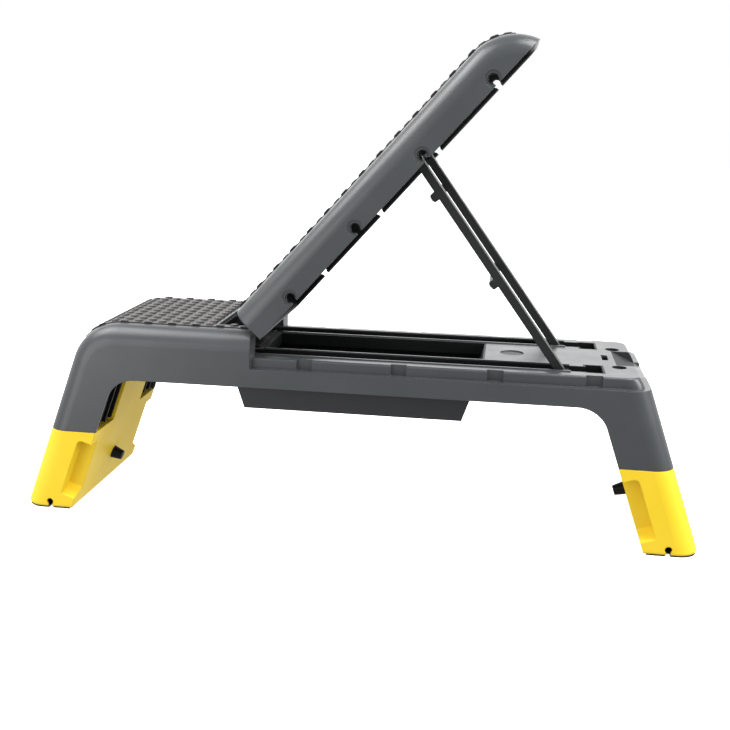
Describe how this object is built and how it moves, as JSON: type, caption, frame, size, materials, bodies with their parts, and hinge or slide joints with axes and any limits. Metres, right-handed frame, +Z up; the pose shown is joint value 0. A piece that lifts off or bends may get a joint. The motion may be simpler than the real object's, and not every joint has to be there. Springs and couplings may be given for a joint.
{
  "type": "aerobic step platform",
  "caption": "Moulded step platform that turns into a bench: rubber-studded seat, backrest raised on a folding prop, fold-out feet and a storage tub under the lower deck.",
  "frame": {"origin": "on the floor, under the centre of the bounding box", "axes": "+X along the platform from the seat towards the lower deck, +Y across it, +Z up"},
  "size_m": [1.1868, 0.325, 0.8471],
  "materials": {
    "grey_plastic": "fine-grained moulded plastic",
    "black_plastic": "moulded, satin",
    "tub_plastic": "moulded, satin",
    "yellow_plastic": "moulded, satin",
    "black_prop": "powder coat",
    "stud_mat_rubber": "studded, matt",
    "sole_rubber": "matt",
    "plug_rubber": "matt",
    "zinc_steel": "zinc plated"
  },
  "bodies": {
    "base": {"deck_shell": "grey_plastic", "seat_mat": "stud_mat_rubber", "track_liner": "black_plastic", "track_liner_screws": "zinc_steel", "storage_tub": "tub_plastic", "tub_screws": "zinc_steel", "hinge_carrier": "black_plastic", "carrier_screws": "zinc_steel", "backrest_hinge_pin": "zinc_steel", "backrest_hinge_clips": "zinc_steel", "left_hinge_bracket": "black_plastic", "left_bracket_screws": "zinc_steel", "left_hinge_pin": "zinc_steel", "left_hinge_clips": "zinc_steel", "right_hinge_bracket": "black_plastic", "right_bracket_screws": "zinc_steel", "right_hinge_pin": "zinc_steel", "right_hinge_clips": "zinc_steel"},
    "backrest": {"backrest_shell": "grey_plastic", "backrest_liner": "black_plastic", "backrest_mat": "stud_mat_rubber", "liner_screws": "zinc_steel", "near_band_grommets": "black_plastic", "far_band_grommets": "black_plastic", "near_prop_pin": "zinc_steel", "far_prop_pin": "zinc_steel"},
    "prop": {"near_strut": "black_prop", "far_strut": "black_prop", "near_strut_slide": "black_plastic", "far_strut_slide": "black_plastic", "upper_crossbar": "black_prop", "lower_crossbar": "black_prop", "crossbar_screws": "zinc_steel"},
    "left_foot": {"left_foot_shell": "yellow_plastic", "left_foot_sole": "sole_rubber", "left_fold_plug": "plug_rubber", "left_plug_screw": "zinc_steel"},
    "right_foot": {"right_foot_shell": "yellow_plastic", "right_foot_sole": "sole_rubber", "right_fold_plug": "plug_rubber", "right_plug_screw": "zinc_steel"}
  },
  "joints": [
    {"name": "backrest_recline", "type": "hinge", "parent": "base", "child": "backrest", "pos_m": [-0.221, 0, 0.324], "axis": [0, -1, 0], "range_deg": [0, 12]},
    {"name": "prop_swing", "type": "hinge", "parent": "backrest", "child": "prop", "pos_m": [0.09909, 0, 0.64171], "axis": [0, -1, 0], "range_deg": [-29.4, 0]},
    {"name": "left_foot_fold", "type": "hinge", "parent": "base", "child": "left_foot", "pos_m": [-0.442, 0, 0.227], "axis": [0, -1, 0], "range_deg": [0, 109]},
    {"name": "right_foot_fold", "type": "hinge", "parent": "base", "child": "right_foot", "pos_m": [0.442, 0, 0.227], "axis": [0, 1, 0], "range_deg": [0, 109]}
  ],
  "couplings": [
    {"joint": "prop_swing", "follows": "backrest_recline", "ratio": -2.45}
  ]
}
